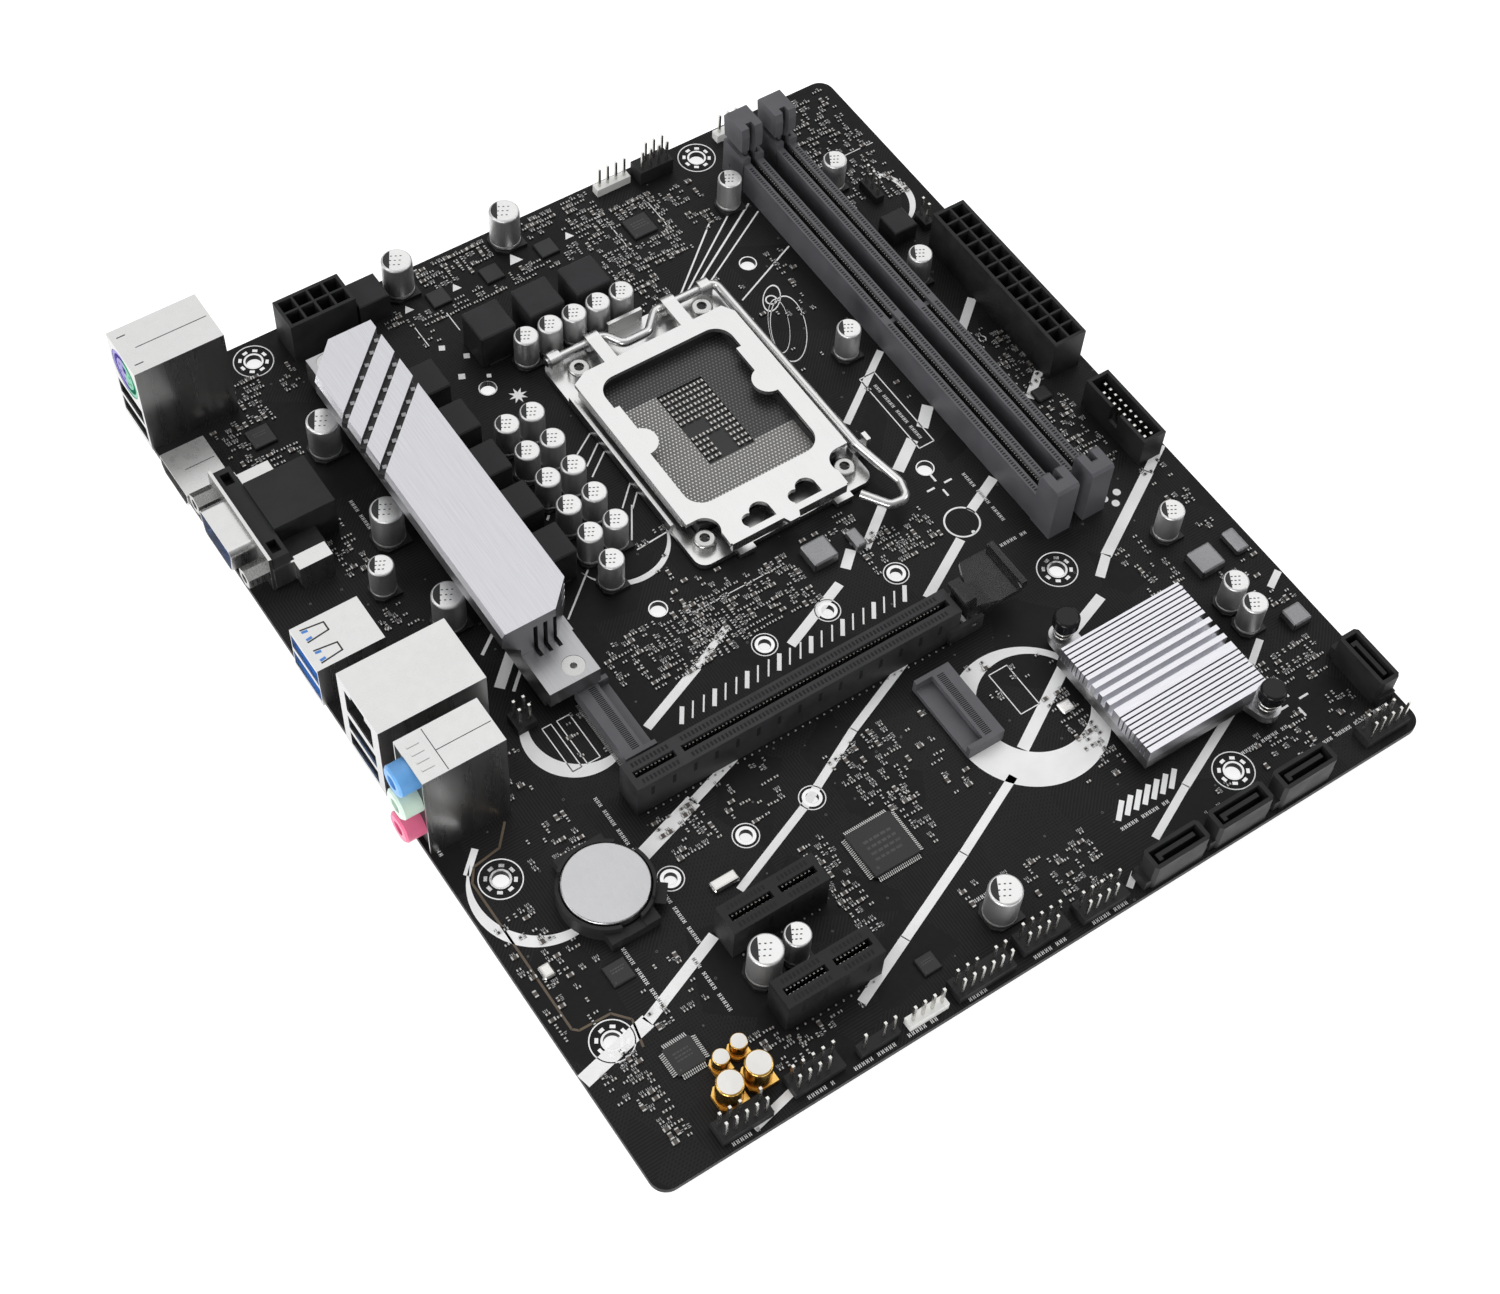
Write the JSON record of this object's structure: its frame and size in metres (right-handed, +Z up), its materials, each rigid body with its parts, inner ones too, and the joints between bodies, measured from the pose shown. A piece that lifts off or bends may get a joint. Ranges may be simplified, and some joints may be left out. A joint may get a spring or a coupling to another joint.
{
  "type": "motherboard",
  "caption": "Micro-ATX computer motherboard with processor socket, memory and card slots, rear ports, power and data connectors, heatsinks and coin cell.",
  "frame": {"origin": "midway between the two middle stand-off holes, on the underside of the board", "axes": "+X from the rear port edge to the front edge, +Y from the card slots to the processor power edge, +Z up from the component side"},
  "size_m": [0.2148, 0.244, 0.0346],
  "materials": {
    "board": "black solder mask, satin",
    "port_metal": "nickel-plated sheet, satin",
    "port_plastic": "moulded black plastic",
    "usb3_plastic": "moulded blue plastic",
    "ps2_plastic": "two-colour moulded plastic, violet over green",
    "vga_plastic": "moulded blue plastic",
    "jack_blue": "light blue plastic",
    "jack_green": "pale green plastic",
    "jack_pink": "pink plastic",
    "nut_metal": "nickel-plated steel",
    "connector_black": "glass-filled black plastic",
    "connector_grey": "glass-filled dark grey plastic",
    "connector_white": "white nylon",
    "contact_metal": "gold-flashed pins",
    "pin_metal": "tinned square pins",
    "latch_clear": "smoky translucent plastic",
    "socket_plastic": "black liquid-crystal polymer",
    "contact_field": "dense field of spring contacts",
    "socket_steel": "nickel-plated stainless steel",
    "steel_dark": "steel with a dark film",
    "heatsink_metal": "brushed and clear anodised",
    "fin_metal": "bead-blasted extrusion",
    "pad_grey": "soft thermal pad",
    "choke_black": "pressed ferrite powder",
    "chip_black": "moulded epoxy",
    "can_metal": "drawn aluminium can",
    "can_gold": "gold sleeve on an aluminium can",
    "pin_black": "black nylon",
    "spring_steel": "spring wire",
    "package_green": "chip substrate",
    "cell_steel": "stainless steel",
    "solder": "bright solder"
  },
  "bodies": {
    "board": {"printed_circuit_board": "board", "ps2_usb_shield": "port_metal", "ps2_usb_core": "port_plastic", "ps2_socket_face": "ps2_plastic", "hdmi_shell": "port_metal", "hdmi_tongue": "port_plastic", "vga_housing": "connector_black", "vga_shell": "port_metal", "vga_insert": "vga_plastic", "vga_jack_screws": "nut_metal", "usb3_pair_shield": "port_metal", "usb3_pair_core": "usb3_plastic", "lan_usb_shield": "port_metal", "lan_usb_core": "port_plastic", "audio_body": "port_plastic", "audio_cover": "port_metal", "audio_jack_blue": "jack_blue", "audio_jack_green": "jack_green", "audio_jack_pink": "jack_pink", "cpu_power_connector": "connector_black", "main_power_connector": "connector_black", "power_pins": "contact_metal", "usb3_front_header": "connector_black", "pin_header_bases": "connector_black", "pin_header_pins": "pin_metal", "fan_headers": "connector_white", "dimm_slot_1": "connector_grey", "dimm_slot_2": "connector_grey", "cpu_socket_body": "socket_plastic", "socket_contact_field": "contact_field", "socket_frame": "socket_steel", "socket_screws": "nut_metal", "socket_backplate": "steel_dark", "pcie_x16_slot": "connector_black", "pcie_x1_slot_upper": "connector_black", "pcie_x1_slot_lower": "connector_black", "m2_socket_upper": "connector_grey", "m2_socket_lower": "connector_grey", "vrm_heatsink": "heatsink_metal", "vrm_thermal_pads": "pad_grey", "vrm_heatsink_screws": "nut_metal", "vrm_chokes": "choke_black", "power_transistors": "chip_black", "polymer_capacitors": "can_metal", "electrolytic_capacitors": "can_metal", "audio_capacitors": "can_gold", "chipset_heatsink": "fin_metal", "chipset_push_pins": "pin_black", "chipset_pin_springs": "spring_steel", "chipset_package": "package_green", "coin_cell_holder": "connector_black", "sata_ports": "connector_black", "integrated_circuits": "chip_black", "solder_tails": "solder"},
    "lever": {"socket_lever": "socket_steel"},
    "plate": {"load_plate": "socket_steel"},
    "memory_latch_1": {"dimm_latch_1": "connector_grey"},
    "memory_latch_2": {"dimm_latch_2": "connector_grey"},
    "card_latch": {"pcie_x16_latch": "latch_clear"},
    "coin_cell_body": {"coin_cell": "cell_steel"}
  },
  "joints": [
    {"name": "lever_turn", "type": "hinge", "parent": "board", "child": "lever", "pos_m": [0.02937, 0.11513, 0.0066], "axis": [-1, 0, 0], "range_deg": [0, 105]},
    {"name": "plate_turn", "type": "hinge", "parent": "board", "child": "plate", "pos_m": [0.02937, 0.11513, 0.0066], "axis": [-1, 0, 0], "range_deg": [0, 93]},
    {"name": "memory_latch_1_turn", "type": "hinge", "parent": "board", "child": "memory_latch_1", "pos_m": [0.08427, 0.14643, 0.0058], "axis": [-1, 0, 0], "range_deg": [0, 28]},
    {"name": "memory_latch_2_turn", "type": "hinge", "parent": "board", "child": "memory_latch_2", "pos_m": [0.09477, 0.14643, 0.0058], "axis": [-1, 0, 0], "range_deg": [0, 28]},
    {"name": "card_latch_turn", "type": "hinge", "parent": "board", "child": "card_latch", "pos_m": [0.04977, 0.00103, 0.0046], "axis": [0, 1, 0], "range_deg": [0, 22]},
    {"name": "coin_cell_lift", "type": "slide", "parent": "board", "child": "coin_cell_body", "axis": [0, 0, 1], "range_m": [0, 0.012]}
  ],
  "couplings": [
    {"joint": "plate_turn", "follows": "lever_turn", "ratio": 0.88}
  ]
}
